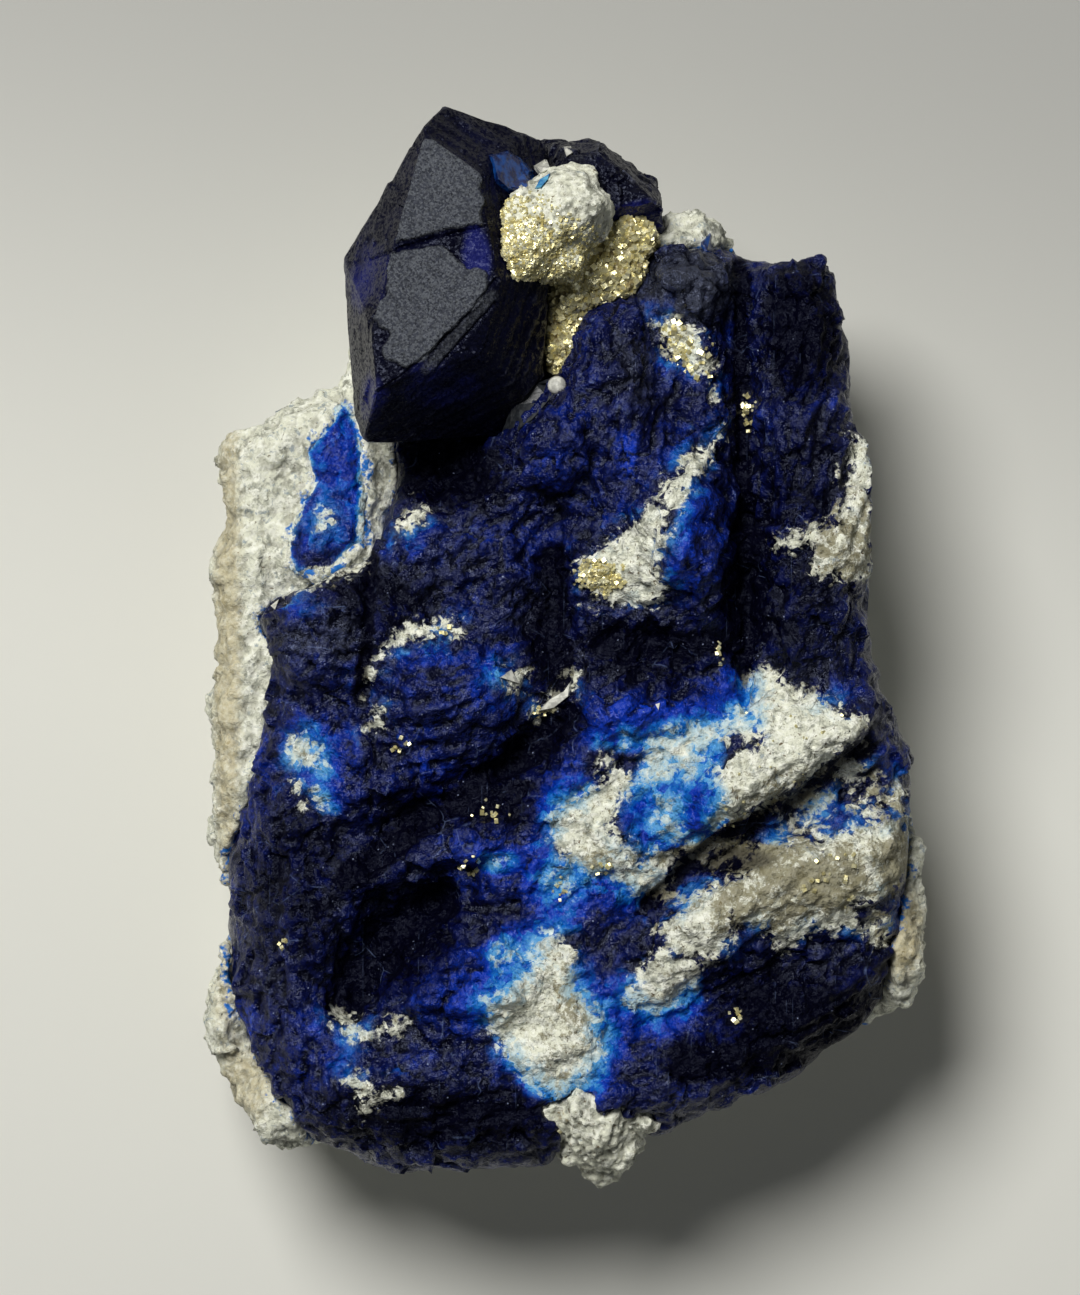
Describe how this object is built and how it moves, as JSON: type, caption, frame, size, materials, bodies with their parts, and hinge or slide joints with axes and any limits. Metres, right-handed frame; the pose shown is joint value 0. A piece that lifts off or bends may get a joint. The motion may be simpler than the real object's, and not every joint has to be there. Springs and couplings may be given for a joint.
{
  "type": "lazurite specimen",
  "caption": "Natural mineral specimen: dark blue lazurite mass and a large blunt crystal on white marble, with calcite and pyrite grown in; lies on a flat back.",
  "frame": {"origin": "middle of the specimen's outline, on the flat back of the marble", "axes": "+Z out of the display face, +Y towards the crystal end, +X to the right seen from the front"},
  "size_m": [0.0746, 0.1084, 0.0478],
  "materials": {
    "lazurite": "dark blue stone, granular and slightly glossy",
    "frosted_lazurite": "dark blue crystal faces with a fine frosting",
    "calcite": "white crumbly calcite",
    "marble": "sugary grey-white marble",
    "pyrite": "bright metallic grains"
  },
  "bodies": {
    "root": {"lazurite_mass": "lazurite", "marble_matrix": "marble", "lazurite_crystal": "frosted_lazurite", "rear_crystal": "frosted_lazurite", "calcite_nodule": "calcite", "calcite_foot": "calcite", "pyrite_aggregate": "pyrite", "calcite_vein": "calcite", "pyrite_pocket": "pyrite", "calcite_ledge": "calcite", "calcite_rib": "calcite", "calcite_patch": "calcite", "lazurite_patch": "lazurite"}
  },
  "joints": []
}
